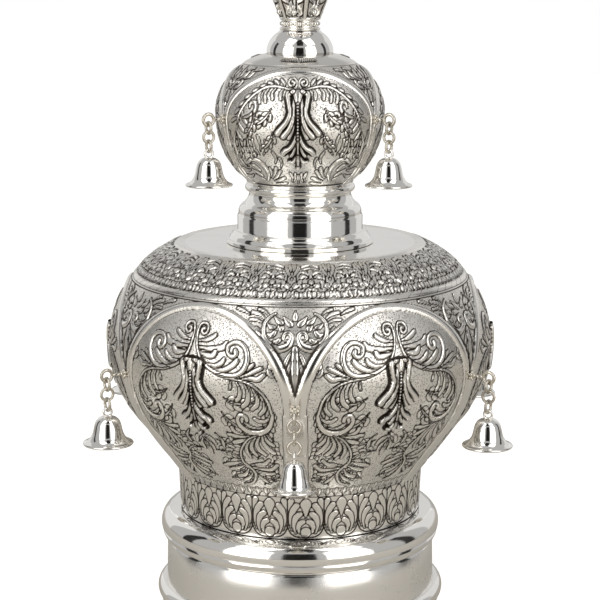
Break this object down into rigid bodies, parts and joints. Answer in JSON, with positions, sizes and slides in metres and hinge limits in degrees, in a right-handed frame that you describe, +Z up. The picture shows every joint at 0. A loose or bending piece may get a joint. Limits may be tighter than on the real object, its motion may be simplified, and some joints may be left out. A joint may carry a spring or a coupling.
{
  "type": "torah crown",
  "caption": "Silver torah crown: a round base, a bulbous chased body, a turned neck, a smaller bulb and a leafy finial, hung with small bells.",
  "frame": {"origin": "centre of the underside of the base", "axes": "+Z up along the crown's axis; the front, where a strip between two panels carries a bell, faces -Y; +X is to the right seen from the front"},
  "size_m": [0.2192, 0.2477, 0.3463],
  "materials": {
    "polished_silver": "bright polished sterling silver with soft mirror reflections",
    "chased_silver": "bright chased silver with a stippled matte ground and oxidised dark recesses",
    "cast_silver": "cast silver, polished on its highs and blackened in its recesses",
    "wire_silver": "drawn silver wire, bright with a slightly warm tone"
  },
  "bodies": {
    "root": {"base": "polished_silver", "body": "chased_silver", "neck": "polished_silver", "upper_bulb": "chased_silver", "collar": "polished_silver", "coronet": "cast_silver", "leaf_lower_1": "cast_silver", "eyelet_lower_1": "wire_silver", "chain_lower_1": "wire_silver", "bell_lower_1": "polished_silver", "leaf_lower_2": "cast_silver", "eyelet_lower_2": "wire_silver", "chain_lower_2": "wire_silver", "bell_lower_2": "polished_silver", "leaf_lower_3": "cast_silver", "eyelet_lower_3": "wire_silver", "chain_lower_3": "wire_silver", "bell_lower_3": "polished_silver", "leaf_lower_4": "cast_silver", "eyelet_lower_4": "wire_silver", "chain_lower_4": "wire_silver", "bell_lower_4": "polished_silver", "leaf_lower_5": "cast_silver", "eyelet_lower_5": "wire_silver", "chain_lower_5": "wire_silver", "bell_lower_5": "polished_silver", "leaf_lower_6": "cast_silver", "eyelet_lower_6": "wire_silver", "chain_lower_6": "wire_silver", "bell_lower_6": "polished_silver", "leaf_upper_1": "cast_silver", "eyelet_upper_1": "wire_silver", "chain_upper_1": "wire_silver", "bell_upper_1": "polished_silver", "leaf_upper_2": "cast_silver", "eyelet_upper_2": "wire_silver", "chain_upper_2": "wire_silver", "bell_upper_2": "polished_silver", "leaf_upper_3": "cast_silver", "eyelet_upper_3": "wire_silver", "chain_upper_3": "wire_silver", "bell_upper_3": "polished_silver"}
  },
  "joints": []
}
